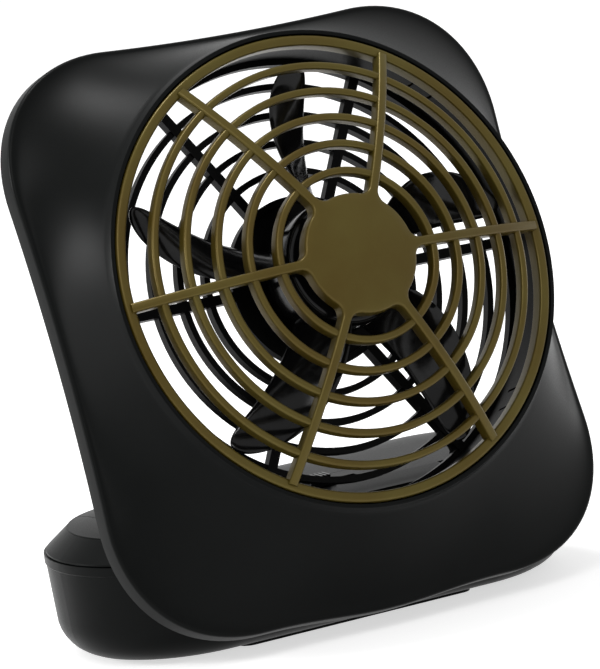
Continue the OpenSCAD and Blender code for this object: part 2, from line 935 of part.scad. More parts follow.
// ---------- Power ----------

module cell(from_x) {
    color(cell_grey)
        translate([from_x, bay_y, cell_z])
            rotate([0, 90, 0])
                rotate_extrude()
                    polygon([
                        [0, 0], [cell_r - 2.4, 0], [cell_r - 1.6, 0.4], [cell_r - 0.5, 0],
                        [cell_r, 0.6], [cell_r, cell_l - 0.8], [cell_r - 0.6, cell_l - 0.2],
                        [5, cell_l - 0.4], [4.8, cell_l + nub_l - 0.3], [4.2, cell_l + nub_l],
                        [0, cell_l + nub_l]
                    ]);
}

module cell_left() {
    cell(-cell_l - nub_l);
}

module cell_right() {
    cell(0.02);
}

spring_turns = 4;
spring_steps = 18;
spring_wire = 0.5;
spring_end = -cell_l - nub_l - 0.15;

// Conical spring, as one tube along a helix about X
module cell_spring() color(steel) {
    count = spring_turns * spring_steps;
    start = bay_left + 0.6 + spring_wire;
    run = spring_end - spring_wire - start;
    translate([0, bay_y, cell_z])
        loft([for (i = [0 : count]) let (
            turn = 360 * i / spring_steps,
            r = 9 - 3.5 * i / count,
            x = start + run * i / count
        ) [for (k = [5 : -1 : 0]) let (a = k * 60) [
            x + spring_wire * cos(a),
            (r + spring_wire * sin(a)) * cos(turn),
            (r + spring_wire * sin(a)) * sin(turn)
        ]]]);
}

// Square contact plate with a solder tab that stands up at its front corner
module contact(from_x) {
    translate([from_x, bay_y - 11, cell_z - 11])
        cube([0.5, 19, 19]);
    translate([from_x, bay_y - 11, cell_z + 7])
        cube([0.5, 4, 7]);
}

module spring_plate() color(steel) {
    contact(bay_left + 0.02);
}

module contact_plate() color(steel) {
    contact(bay_right - 0.55);
}

body_top = base_top - top_wall;

module switch_body() color([0.2, 0.2, 0.21]) {
    difference() {
        translate([-switch_body_size[0] / 2, knob_y - switch_body_size[1] / 2, body_top - 5.9])
            cube(switch_body_size);
        translate([knob_x - 2.2, knob_y - 1.5, body_top - 3])
            cube([4.4 + knob_travel, 3, 4]);
    }
    for (x = [-6, 0, 6])
        translate([x - 0.6, knob_y - 0.3, body_top - 8.5])
            cube([1.2, 0.6, 3.2]);
}

module switch_knob() color(gloss_black) {
    difference() {
        union() {
            translate([knob_x - knob_plate[0] / 2, knob_y - knob_plate[1] / 2, base_top - 0.7])
                cube(knob_plate);
            translate([knob_x - knob_grip[0] / 2, knob_y - knob_grip[1] / 2, base_top])
                cube(knob_grip);
            translate([knob_x - 1.5, knob_y - 1.1, body_top - 2.6])
                cube([3, 2.2, 4.6]);
        }
        for (i = [-2 : 2])
            translate([knob_x + i * 1.35 - 0.3, knob_y - 4, base_top + 2.4])
                cube([0.6, 8, 2]);
    }
}

module speed_resistor() color([0.9, 0.88, 0.82]) {
    translate([18, knob_y - 3, 25])
        cube([18, 6, 6]);
    for (x = [15.5, 35.9])
        translate([x, knob_y, 28])
            bar_x(0.4, 0, 2.6);
}

module base_leads() color(lead_black) {
    top_hole = hinge_z - 1.1;
    tag_z = body_top - 6.8;
    sideways = [0.2, 1, 0.1];
    wire([
        [-6.7, knob_y, tag_z], [-30, knob_y, 27], [-66, -4, 27], [-69.6, bay_y - 10, cell_z + 13]
    ], lead_r, [0, 0.1, 1]);
    wire([[1.2, knob_y, tag_z - 0.4], [5, knob_y, 28.2], [15, knob_y, 28]], lead_r, sideways);
    wire([
        [39.2, knob_y, 28], [41, -18, 31], [lead_cross_x + 0.7, hinge_y, 35],
        [lead_cross_x + 0.7, hinge_y, top_hole]
    ], lead_r, sideways + [1, 0, 0]);
    wire([
        [61, bay_y - 9, cell_z + 13.6], [56, -4, 35], [lead_cross_x - 0.7, hinge_y + 5, 36],
        [lead_cross_x - 0.7, hinge_y, 38.6], [lead_cross_x - 0.7, hinge_y, top_hole]
    ], lead_r, [0.5, 1, 0]);
}

module base_screws() color(steel) {
    both_sides()
        for (spot = screw_spots)
            translate([spot[0], spot[1], 4])
                screw(2.8, 1.4, 1.45, 32);
}

module foot_pads() color([0.1, 0.1, 0.1]) {
    both_sides()
        for (side = [-1, 1])
            translate([pad_spot[0], side * pad_spot[1], 0])
                cylinder(r = pad_r, h = pad_t, $fn = 40);
}

front_bezel();
front_guard();
rear_housing();
housing_screws();
motor_can();
motor_end_cap();
motor_magnets();
motor_bearings();
motor_brushes();
motor_clamp();
head_leads();
motor_shaft();
motor_armature();
commutator();
fan_rotor();
base_lower_shell();
base_upper_shell();
battery_lid();
lid_hinge_pins();
hinge_pins();
friction_washers();
cell_left();
cell_right();
cell_spring();
spring_plate();
contact_plate();
switch_body();
switch_knob();
speed_resistor();
base_leads();
base_screws();
foot_pads();
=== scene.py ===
"""Looks of the folding camping fan: smooth shells, guard, blades, leads, materials and a pale studio.

Head pieces are made in the head's own axes: u to the right, v up the face and n out of the face,
with their origin at the centre of the guard's rim. Everything is in metres.
"""

import json
import math

import bmesh
import bpy
from mathutils import Matrix, Vector


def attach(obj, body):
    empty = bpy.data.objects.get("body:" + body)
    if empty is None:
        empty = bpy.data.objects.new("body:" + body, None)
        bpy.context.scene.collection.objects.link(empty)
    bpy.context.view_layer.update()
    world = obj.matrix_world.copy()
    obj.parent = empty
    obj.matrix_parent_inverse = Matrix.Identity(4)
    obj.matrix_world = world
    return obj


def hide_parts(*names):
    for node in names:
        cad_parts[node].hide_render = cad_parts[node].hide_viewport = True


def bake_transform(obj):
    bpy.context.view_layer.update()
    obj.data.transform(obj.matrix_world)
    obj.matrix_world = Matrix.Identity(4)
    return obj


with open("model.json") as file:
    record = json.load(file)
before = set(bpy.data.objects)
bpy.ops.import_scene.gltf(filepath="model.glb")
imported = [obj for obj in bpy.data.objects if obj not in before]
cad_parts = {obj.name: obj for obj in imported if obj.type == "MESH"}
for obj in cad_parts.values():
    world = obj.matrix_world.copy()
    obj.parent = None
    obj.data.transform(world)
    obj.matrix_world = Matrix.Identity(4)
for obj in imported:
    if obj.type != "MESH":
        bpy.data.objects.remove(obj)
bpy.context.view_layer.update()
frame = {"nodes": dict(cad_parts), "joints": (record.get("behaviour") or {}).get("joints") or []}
nodes = frame["nodes"]
joints = {joint["name"]: joint for joint in frame["joints"]}

MM = 0.001

# ---------- The head's own axes, from its spin joint ----------

head_centre = Vector(joints["fan_spin"]["pos_m"])
face_out = Vector(joints["fan_spin"]["axis"]).normalized()
face_right = Vector((1, 0, 0))
face_up = face_out.cross(face_right)
HEAD = Matrix.Translation(head_centre) @ Matrix((face_right, face_up, face_out)).transposed().to_4x4()

# ---------- Driving sizes of the head, in millimetres ----------

RIM_R = 70
RIM_IN = 66.8
RIM_BACK = -4.5
DOME_H = 16.5
RING_COUNT = 5
FIRST_RING_R = 25.1
RING_STEP = 8.6
DISC_R = 17.9
SPOKE_W = 2.9
RING_W = 2.3
RING_H = 3.7
RING_SINK = 0.3
RING_ROUND = 1.05
HALF_W = 85.6
HALF_H = 91.8
CORNER = 43.9
PINCH = 4.9
OUTLINE_DROP = 7.85
BOTTOM_SWELL = 0.69
SWELL_REACH = 30
DISH_DEPTH = 24.2
LIP_SIDE = 3
LIP_R = 71.7
LIP_IN = 70.3
COLLAR_R = 72.3
COLLAR_BACK = -13
SKIRT_BACK = -31.2
EDGE_ROUND = 1.3
WALL = 2
DISH_WALL = 2.6
SHROUD_BACK = -20.5


# ---------- Materials ----------

TONE_SCALE = 35.0


def new_material(name):
    """A fresh node material, with its shader and its links."""
    material = bpy.data.materials.new(name)
    material.use_nodes = True
    tree = material.node_tree
    shader = tree.nodes["Principled BSDF"]
    return material, tree, shader


def grain(tree, scale, detail):
    """Noise in the object's own coordinates."""
    where = tree.nodes.new("ShaderNodeTexCoord")
    noise = tree.nodes.new("ShaderNodeTexNoise")
    noise.inputs["Scale"].default_value = scale
    noise.inputs["Detail"].default_value = detail
    tree.links.new(where.outputs["Object"], noise.inputs["Vector"])
    return noise.outputs["Fac"]


def ramp(tree, source, stops):
    """Maps a value to grey levels or colours at the given places."""
    node = tree.nodes.new("ShaderNodeValToRGB")
    elements = node.color_ramp.elements
    while len(elements) < len(stops):
        elements.new(0.5)
    for element, (place, colour) in zip(elements, stops):
        element.position = place
        element.color = (*colour, 1)
    tree.links.new(source, node.inputs["Fac"])
    return node.outputs["Color"]


def grey(level):
    return (level, level, level)


def roughen(tree, shader, source, stops, rough):
    """Roughness that goes from the first to the second value of rough, between the two stops."""
    levels = ramp(tree, source, [(stops[0], grey(rough[0])), (stops[1], grey(rough[1]))])
    tree.links.new(levels, shader.inputs["Roughness"])


def bump(tree, shader, height, strength, depth):
    node = tree.nodes.new("ShaderNodeBump")
    node.inputs["Strength"].default_value = strength
    node.inputs["Distance"].default_value = depth
    tree.links.new(height, node.inputs["Height"])
    tree.links.new(node.outputs["Normal"], shader.inputs["Normal"])


def speckled(name, low, high, rough, grain_scale, depth, metallic=0.0, specular=0.5, coat=0.0):
    """Moulded plastic or rubber: a slow change of tone, a fine grain and a matching bump.

    low and high are its two tones, rough its range of roughness and depth the bump's height.
    """
    material, tree, shader = new_material(name)
    tone = grain(tree, TONE_SCALE, 4.0)
    fine = grain(tree, grain_scale, 2.0)
    tree.links.new(ramp(tree, tone, [(0.3, low), (0.7, high)]), shader.inputs["Base Color"])
    roughen(tree, shader, fine, (0.3, 0.7), rough)
    bump(tree, shader, fine, 0.35, depth)
    shader.inputs["Metallic"].default_value = metallic
    shader.inputs["Specular IOR Level"].default_value = specular
    shader.inputs["Coat Weight"].default_value = coat
    shader.inputs["Coat Roughness"].default_value = 0.15
    return material


def brushed(name, low, high, rough, stretch):
    """Turned or rolled metal: fine lines, packed closer along the axes where stretch is larger."""
    material, tree, shader = new_material(name)
    where = tree.nodes.new("ShaderNodeTexCoord")
    mapping = tree.nodes.new("ShaderNodeMapping")
    mapping.inputs["Scale"].default_value = stretch
    noise = tree.nodes.new("ShaderNodeTexNoise")
    noise.inputs["Scale"].default_value = 400.0
    noise.inputs["Detail"].default_value = 3.0
    tree.links.new(where.outputs["Object"], mapping.inputs["Vector"])
    tree.links.new(mapping.outputs["Vector"], noise.inputs["Vector"])
    lines = noise.outputs["Fac"]
    tree.links.new(ramp(tree, lines, [(0.25, low), (0.75, high)]), shader.inputs["Base Color"])
    roughen(tree, shader, lines, (0.25, 0.75), rough)
    bump(tree, shader, lines, 0.15, 0.00005)
    shader.inputs["Metallic"].default_value = 1.0
    return material


def shell_black():
    return speckled("shell_black", (0.0016, 0.0020, 0.0019), (0.0028, 0.0033, 0.0032),
                    (0.33, 0.41), 2600.0, 0.00004, specular=0.065)


def rear_black():
    return speckled("rear_black", grey(0.0016), grey(0.003),
                    (0.36, 0.44), 2000.0, 0.00004, specular=0.06)


def guard_olive():
    return speckled("guard_olive", (0.070, 0.045, 0.0045), (0.088, 0.068, 0.012),
                    (0.28, 0.38), 1900.0, 0.00006, metallic=0.4, specular=0.25)


def blade_black():
    return speckled("blade_black", (0.003, 0.003, 0.0033), (0.005, 0.005, 0.0053),
                    (0.10, 0.16), 700.0, 0.00002, specular=0.18)


def zinc():
    return brushed("zinc", (0.46, 0.46, 0.48), (0.62, 0.62, 0.63), (0.28, 0.42), (1, 1, 6))


def motor_steel():
    return brushed("motor_steel", (0.40, 0.40, 0.42), (0.55, 0.55, 0.57), (0.25, 0.38), (1, 6, 1))


def bronze():
    return brushed("bronze", (0.45, 0.27, 0.09), (0.60, 0.38, 0.15), (0.30, 0.45), (1, 1, 3))


def winding_copper():
    return brushed("winding_copper", (0.34, 0.12, 0.04), (0.62, 0.27, 0.11), (0.25, 0.40), (8, 1, 1))


def ferrite():
    return speckled("ferrite", (0.05, 0.05, 0.055), (0.09, 0.09, 0.095), (0.55, 0.7), 1500.0, 0.00005)


def cream_plastic():
    return speckled("cream_plastic", (0.52, 0.48, 0.36), (0.6, 0.56, 0.44),
                    (0.40, 0.5), 1200.0, 0.00003)


def washer_nylon():
    return speckled("washer_nylon", (0.62, 0.62, 0.56), (0.7, 0.7, 0.64), (0.4, 0.5), 1500.0, 0.00003)


def cell_jacket():
    return speckled("cell_jacket", (0.02, 0.03, 0.05), (0.03, 0.042, 0.065),
                    (0.24, 0.32), 900.0, 0.00002, coat=0.5)


def switch_black():
    return speckled("switch_black", (0.02, 0.02, 0.021), (0.03, 0.03, 0.031),
                    (0.5, 0.6), 1500.0, 0.00003)


def ceramic():
    return speckled("ceramic", (0.6, 0.57, 0.49), (0.68, 0.65, 0.57), (0.6, 0.75), 1500.0, 0.00006)


def pad_rubber():
    return speckled("pad_rubber", grey(0.01), grey(0.016), (0.6, 0.75), 1400.0, 0.00005)


def lead_black():
    return speckled("lead_black", grey(0.008), grey(0.014), (0.32, 0.42), 900.0, 0.00002)


# ---------- Mesh helpers ----------

def smooth_piece(name, build, material):
    """A new object whose mesh the function build makes, shaded smooth."""
    mesh = bpy.data.meshes.new(name)
    bm = bmesh.new()
    build(bm)
    bmesh.ops.recalc_face_normals(bm, faces=bm.faces)
    bm.to_mesh(mesh)
    bm.free()
    mesh.materials.append(material)
    mesh.shade_smooth()
    piece = bpy.data.objects.new(name, mesh)
    bpy.context.scene.collection.objects.link(piece)
    return piece


def rigid_piece(name, build, body, material, sharp):
    """A smooth piece that keeps its edges over the angle sharp and rides on its body."""
    piece = smooth_piece(name, build, material)
    piece.data.set_sharp_from_angle(angle=math.radians(sharp))
    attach(piece, body)
    return piece


def head_point(u, v, n):
    """A place in the head's axes, given in millimetres."""
    return HEAD @ Vector((u * MM, v * MM, n * MM))


def turned_point(p, angle):
    """The flat point p turned about the origin."""
    c = math.cos(angle)
    s = math.sin(angle)
    return Vector((c * p[0] - s * p[1], s * p[0] + c * p[1]))


def stitch(bm, loops, closed=False):
    """Quads between loops of the same length; closed joins the last loop to the first."""
    count = len(loops[0])
    last = len(loops) if closed else len(loops) - 1
    for k in range(last):
        one = loops[k]
        two = loops[(k + 1) % len(loops)]
        for i in range(count):
            j = (i + 1) % count
            bm.faces.new((one[i], one[j], two[j], two[i]))


def hoop(bm, sections):
    """A closed hoop: every section is an outline of points, and the last section joins the first."""
    loops = [[bm.verts.new(p) for p in section] for section in sections]
    stitch(bm, loops, closed=True)


def loft(bm, sections):
    """A solid through a stack of outlines, closed at both ends."""
    loops = [[bm.verts.new(p) for p in section] for section in sections]
    stitch(bm, loops)
    bm.faces.new(loops[0])
    bm.faces.new(reversed(loops[-1]))


def turned(bm, profile, steps):
    """A ring: a closed profile of (radius, height) points turned about the head's axis."""
    sections = []
    for k in range(steps):
        angle = 2 * math.pi * k / steps
        sections.append([head_point(r * math.cos(angle), r * math.sin(angle), z) for r, z in profile])
    hoop(bm, sections)


def rounded_profile(corners, radii, steps=6):
    """A closed outline whose corners are rounded, each by its own radius."""
    count = len(corners)
    points = []
    for i in range(count):
        here = Vector(corners[i])
        back = (Vector(corners[i - 1]) - here).normalized()
        onward = (Vector(corners[(i + 1) % count]) - here).normalized()
        radius = radii[i]
        if radius <= 0:
            points.append(tuple(here))
            continue
        half = back.angle(onward) / 2
        reach = radius / math.tan(half)
        start = here + back * reach
        end = here + onward * reach
        for k in range(steps + 1):
            t = k / steps
            points.append(tuple(start * (1 - t) ** 2 + here * 2 * t * (1 - t) + end * t ** 2))
    return points


# ---------- Bezel ----------

def rounded_outline(half_w, half_h, radius, corner_steps=26, side_steps=22):
    """Plain rounded rectangle, anticlockwise from its right side."""
    points = []
    for across, up, first in ((1, 1, 0), (-1, 1, 90), (-1, -1, 180), (1, -1, 270)):
        for i in range(corner_steps + 1):
            angle = math.radians(first + 90 * i / corner_steps)
            points.append((across * (half_w - radius) + radius * math.cos(angle),
                           up * (half_h - radius) + radius * math.sin(angle)))
        for i in range(1, side_steps):
            t = 1 - 2 * i / side_steps
            if across * up > 0:
                points.append((across * (half_w - radius) * t, up * half_h))
            else:
                points.append((across * half_w, up * (half_h - radius) * t))
    return points


def pinched(u, v, half_w, half_h):
    """Pulls the middle of each side inwards, the bottom side less than the others."""
    across = u / half_w
    up = v / half_h
    calm = 1 - BOTTOM_SWELL * math.exp(-(u / SWELL_REACH) ** 2) if v < 0 else 1
    return (u * (1 - PINCH / half_w * (1 - up * up)),
            v * (1 - PINCH / half_h * (1 - across * across) * calm) - OUTLINE_DROP)


def bezel_outline(inset):
    half_w = HALF_W - inset
    half_h = HALF_H - inset
    return [pinched(u, v, half_w, half_h) for u, v in rounded_outline(half_w, half_h, CORNER - inset)]


def dish_z(t):
    """Height of the dished face, t from 0 at the collar to 1 at the outline."""
    return -LIP_SIDE - (DISH_DEPTH - LIP_SIDE) * (1 - (1 - t) ** 1.35)


def on_ray(p, radius, z):
    """A point at a radius on the ray from the centre through p."""
    reach = math.hypot(*p)
    return (p[0] * radius / reach, p[1] * radius / reach, z)


def on_dish(p, t, z):
    return on_ray(p, COLLAR_R + (math.hypot(*p) - COLLAR_R) * t, z)


def quarter(p, inner, z_top, z_low, steps):
    """Rounds the edge from the face, at inner, down to the side at the outline p."""
    points = []
    for i in range(steps + 1):
        angle = math.pi / 2 * i / steps
        share = math.sin(angle)
        u = inner[0] + (p[0] - inner[0]) * share
        v = inner[1] + (p[1] - inner[1]) * share
        points.append((u, v, z_low + (z_top - z_low) * math.cos(angle)))
    return points


def part_way(p, q, share, z):
    """A point between p and q at the given share of the way, at height z."""
    return (p[0] + (q[0] - p[0]) * share, p[1] + (q[1] - p[1]) * share, z)


def bezel_section(p, edge, q):
    """One closed outline of the bezel: lip, face, side at p, back rim, inside at q and collar."""
    lip = [(LIP_IN, -0.5), (LIP_IN + 0.15, -0.12), (LIP_IN + 0.5, 0),
           (LIP_R - 0.45, 0), (LIP_R - 0.12, -0.12), (LIP_R + 0.05, -0.5),
           (COLLAR_R - 0.1, -LIP_SIDE + 0.4)]
    points = [on_ray(p, r, z) for r, z in lip]
    face_start = 0.006
    face_steps = 26
    for i in range(face_steps):
        t = face_start + (1 - face_start) * i / face_steps
        points.append(on_dish(edge, t, dish_z(t)))
    points += quarter(p, edge, -DISH_DEPTH, -DISH_DEPTH - EDGE_ROUND, 5)
    points += [(p[0], p[1], SKIRT_BACK + 0.4), part_way(p, q, 0.2, SKIRT_BACK),
               part_way(q, p, 0.2, SKIRT_BACK), (q[0], q[1], SKIRT_BACK + 0.4)]
    points.append((q[0], q[1], -DISH_DEPTH - WALL))
    inner_steps = 11
    for i in range(inner_steps - 1, 0, -1):
        t = i / inner_steps
        points.append(on_dish(q, t, dish_z(t) - DISH_WALL))
    points += [on_ray(p, COLLAR_R, -LIP_SIDE - DISH_WALL), on_ray(p, COLLAR_R, COLLAR_BACK),
               on_ray(p, LIP_IN, COLLAR_BACK)]
    return [head_point(*point) for point in points]


# Angle of each screw boss, its radius, the wall's height there and its slope
BOSSES = ((45, 80, -12.4, 44), (135, 80, -12.4, 44), (225, 84, -13.2, 35), (315, 84, -13.2, 35))
BOSS_OUT = 3.2
BOSS_BORE = 1.45
EAR_FRONT = -18.5


def boss(bm, angle, reach, wall_z, slope):
    """A screw boss: a short tube whose top follows the slope of the wall."""
    turn = math.radians(angle)
    fall = math.tan(math.radians(slope))
    steps = 36

    def at(r, a, z):
        spot = turned_point((reach + r * math.cos(a), r * math.sin(a)), turn)
        return head_point(spot.x, spot.y, z)

    sections = []
    for k in range(steps):
        a = 2 * math.pi * k / steps
        outer = wall_z - BOSS_OUT * math.cos(a) * fall
        inner = wall_z - BOSS_BORE * math.cos(a) * fall
        sections.append([
            at(BOSS_BORE, a, EAR_FRONT), at(BOSS_OUT - 0.3, a, EAR_FRONT),
            at(BOSS_OUT, a, EAR_FRONT + 0.3), at(BOSS_OUT, a, outer), at(BOSS_BORE, a, inner),
        ])
    hoop(bm, sections)


def make_bezel(material):
    def build(bm):
        outer = bezel_outline(0)
        edge = bezel_outline(EDGE_ROUND)
        inner = bezel_outline(WALL)
        hoop(bm, [bezel_section(p, e, q) for p, e, q in zip(outer, edge, inner)])
        for angle, reach, wall_z, slope in BOSSES:
            boss(bm, angle, reach, wall_z, slope)

    piece = rigid_piece("bezel_shell", build, "head", material, sharp=40)
    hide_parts("front_bezel")


# ---------- Guard ----------

SPOKE_RISE = 0.3
CROWN = 0.2
CROWN_REACH = 12
SPOKE_END = RIM_R - 1.6
SPOKE_DEPTH = 4.3
ROOT_FILLET = 3.4
LEG_IN = 68.9
LEG_OUT = 69.9
LEG_TOP = -4.2
LEG_END = -10.6
LEG_HALF_W = 3.3
LEG_RIDGE = 0.3
# The soft upper edge of disc and spokes: how far each line lies inwards and down
EDGE_INSETS = ((0.0, 0.95), (0.1, 0.5), (0.32, 0.17), (0.7, 0.0))


def dome_z(r):
    return DOME_H * (1 - (r / RIM_R) ** 2)


def plate_z(r):
    """Top of the disc and spokes, a little above the rings, with a slight crown in the middle."""
    return dome_z(r) + SPOKE_RISE + CROWN * math.exp(-(r / CROWN_REACH) ** 2)


def sector_outline():
    """Outline of a sixth of the disc, from one spoke's side to the next: points and inward normals."""
    half = SPOKE_W / 2
    # The fillet's centre lies off the spoke's side and off the disc's edge by the fillet's radius
    centre_y = half + ROOT_FILLET
    centre_x = math.sqrt((DISC_R + ROOT_FILLET) ** 2 - centre_y ** 2)
    tangent = math.atan2(centre_y, centre_x)
    points = []
    steps = 8
    for i in range(steps + 1):
        angle = -math.pi / 2 + (tangent - math.pi / 2) * i / steps
        normal = Vector((math.cos(angle), math.sin(angle)))
        points.append((Vector((centre_x, centre_y)) + normal * ROOT_FILLET, normal))
    arc = 14
    far = math.pi / 3 - tangent
    for i in range(1, arc):
        angle = tangent + (far - tangent) * i / arc
        normal = Vector((-math.cos(angle), -math.sin(angle)))
        points.append((normal * -DISC_R, normal))
    # The second fillet is the first one's mirror image, across the middle of the sector
    mirror = math.pi / 3
    swap = Matrix(((math.cos(mirror), math.sin(mirror)), (math.sin(mirror), -math.cos(mirror))))
    for point, normal in reversed(points[:steps + 1]):
        points.append((swap @ point, swap @ normal))
    return points, centre_x


def star_body(bm):
    """The disc and its six spokes as one closed body with soft upper edges."""
    sector, root_x = sector_outline()
    per = 26
    stations = [SPOKE_END - (SPOKE_END - root_x) * i / per for i in range(per)]
    half = SPOKE_W / 2
    loop = []
    for k in range(6):
        turn = k * math.pi / 3
        for r in reversed(stations):
            loop.append(("right", k, turned_point((r, -half), turn), turned_point((0, 1), turn)))
        for r in stations:
            loop.append(("left", k, turned_point((r, half), turn), turned_point((0, -1), turn)))
        for point, normal in sector:
            loop.append(("plate", k, turned_point(point, turn), turned_point(normal, turn)))

    def place(p, drop):
        return bm.verts.new(head_point(p[0], p[1], plate_z(p.length) - drop))

    rings = []
    for inset, drop in EDGE_INSETS:
        rings.append([place(p + normal * inset, drop) for _, _, p, normal in loop])
    under = [place(p, SPOKE_DEPTH) for _, _, p, _ in loop]
    stitch(bm, [under] + rings)
    count = len(loop)
    first = {}
    for i, (side, k, _, _) in enumerate(loop):
        first.setdefault((side, k), i)
    for ring, upward in ((rings[-1], True), (under, False)):
        plate = []
        for k in range(6):
            right = first[("right", k)]
            left = first[("left", k)]
            for j in range(per - 1):
                a = ring[right + j]
                b = ring[right + j + 1]
                c = ring[left + per - 2 - j]
                d = ring[left + per - 1 - j]
                bm.faces.new((a, b, c, d))
            plate.append(ring[right])
            plate.append(ring[left + per - 1])
            start = first[("plate", k)]
            plate += ring[start:start + len(sector)]
        # The first spoke's right root comes before its left root, so the loop is already in order
        depth = 0.0 if upward else SPOKE_DEPTH
        shrunk = [plate]
        for share in (0.86, 0.7, 0.5, 0.28):
            row = []
            for vert in plate:
                flat = HEAD.inverted() @ vert.co / MM
                row.append(place(Vector((flat.x, flat.y)) * share, depth))
            shrunk.append(row)
        stitch(bm, shrunk)
        bm.faces.new(shrunk[-1])


def make_guard(material):
    def build(bm):
        star_body(bm)
        for i in range(RING_COUNT):
            r = FIRST_RING_R + RING_STEP * i
            top = dome_z(r) - RING_SINK
            low = top - RING_H
            inner = r - RING_W / 2
            outer = r + RING_W / 2
            corners = [(inner, low), (outer, low), (outer, top), (inner, top)]
            turned(bm, rounded_profile(corners, (0.2, 0.2, RING_ROUND, RING_ROUND)), 150)
        rim = [(RIM_IN, RIM_BACK), (RIM_R, RIM_BACK), (RIM_R, 0.4), (RIM_IN, 0.2)]
        turned(bm, rounded_profile(rim, (0.3, 0.3, 1.3, 1.0)), 200)
        for angle in (45, 135, 225, 315):
            clip(bm, math.radians(angle))

    piece = rigid_piece("guard_grille", build, "head", material, sharp=42)
    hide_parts("front_guard")


def clip(bm, angle):
    """A snap leg behind the shroud's tab, with a low ridge on its inner side."""
    ridge_r = LEG_IN - LEG_RIDGE
    outline = [
        (LEG_IN, LEG_TOP), (LEG_OUT, LEG_TOP),
        (LEG_OUT, LEG_END + 0.2), (LEG_OUT - 0.2, LEG_END),
        (LEG_IN + 0.2, LEG_END), (LEG_IN, LEG_END + 0.2),
        (LEG_IN, LEG_END + 1.0), (ridge_r, LEG_END + 1.3),
        (ridge_r, LEG_END + 1.9), (LEG_IN, LEG_END + 2.2),
    ]
    sections = []
    for across in (-LEG_HALF_W, LEG_HALF_W):
        sections.append([head_point(*turned_point((r, across), angle), z) for r, z in outline])
    loft(bm, sections)


# ---------- Rotor ----------

BLADE_COUNT = 5
BLADE_TIP_R = 62.9
HUB_R = 19
HUB_IN = 17
HUB_BACK = -9
HUB_SIDE_TOP = 6.2
HUB_TOP = 7.4
SLEEVE_R = 3.4
SLEEVE_BACK = -2
SHAFT_BORE_R = 1.02
BLADE_ROOT_R = HUB_R - 1.4
FIRST_BLADE = 17.7
BLADE_T = 1.7


def bend(a, b, c, t):
    """Smooth curve from a to c that is drawn towards b, for t from 0 to 1."""
    return a * (1 - t) ** 2 + 2 * b * t * (1 - t) + c * t ** 2


def blade_section(t):
    """A thin lens section of the blade at share t of its length: it narrows, sweeps and untwists."""
    points_round = 20
    reach = BLADE_ROOT_R + (BLADE_TIP_R - BLADE_ROOT_R) * t
    half = bend(10.2, 10.2, 6.9, t) * math.sqrt(max(0.0, 1 - t ** 9.9)) + 0.1
    swept = bend(1, 7.8, -8.6, t)
    pitch = math.radians(59 - 48 * t)
    middle = -0.6 - 6.8 * t
    row = []
    for i in range(points_round):
        a = 2 * math.pi * i / points_round
        along = math.cos(a) * half
        thick = BLADE_T / 2 * math.copysign(abs(math.sin(a)) ** 0.7, math.sin(a))
        thick *= min(1.0, half / 2.2)
        row.append((reach, along * math.cos(pitch) - thick * math.sin(pitch) + swept,
                    along * math.sin(pitch) + thick * math.cos(pitch) + middle))
    return row


def blade(bm, turn):
    stations = 40
    c = math.cos(turn)
    s = math.sin(turn)
    sections = []
    for i in range(stations + 1):
        t = 1 - (1 - i / stations) ** 1.6
        sections.append([head_point(c * x - s * y, s * x + c * y, z) for x, y, z in blade_section(t)])
    loft(bm, sections)


def make_rotor(material):
    def build(bm):
        corners = [
            (HUB_IN, HUB_BACK), (HUB_R, HUB_BACK), (HUB_R, HUB_SIDE_TOP), (12, HUB_TOP - 0.2),
            (SLEEVE_R, HUB_TOP), (SLEEVE_R, SLEEVE_BACK), (SHAFT_BORE_R, SLEEVE_BACK),
            (SHAFT_BORE_R, 4.6), (3.0, 5.0), (HUB_IN, 4.8),
        ]
        turned(bm, rounded_profile(corners, (0.4, 0.4, 2.2, 1.0, 0, 0.3, 0, 0, 0, 0)), 120)
        for k in range(BLADE_COUNT):
            blade(bm, math.radians(FIRST_BLADE + 360 * k / BLADE_COUNT))

    piece = rigid_piece("rotor_blades", build, "rotor", material, sharp=40)
    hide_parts("fan_rotor")


# ---------- Leads ----------

LEAD_R = 0.6
LEAD_OFFSET = 0.68
HINGE = Vector(joints["head_tilt"]["pos_m"]) / MM
LEAD_CROSS_X = 38
TERMINAL_ANGLE = 300


def smooth_path(points, per_span=8):
    """A Catmull-Rom curve through the given places."""
    path = []
    last = len(points) - 1
    for i in range(last):
        before = points[max(i - 1, 0)]
        a = points[i]
        b = points[i + 1]
        after = points[min(i + 2, last)]
        for k in range(per_span):
            t = k / per_span
            path.append(0.5 * (2 * a + (b - before) * t + (2 * before - 5 * a + 4 * b - after) * t ** 2
                               + (3 * a - before - 3 * b + after) * t ** 3))
    path.append(points[-1])
    return path


def sweep(bm, path, radius, sides=12):
    """A round tube along a path, with closed ends."""
    side = Vector((1, 0, 0))
    sections = []
    for i, place in enumerate(path):
        run = (path[min(i + 1, len(path) - 1)] - path[max(i - 1, 0)]).normalized()
        side = (side - run * side.dot(run)).normalized()
        rise = run.cross(side)
        row = []
        for k in range(sides):
            angle = 2 * math.pi * k / sides
            row.append(place + radius * (math.cos(angle) * side + math.sin(angle) * rise))
        sections.append(row)
    loft(bm, sections)


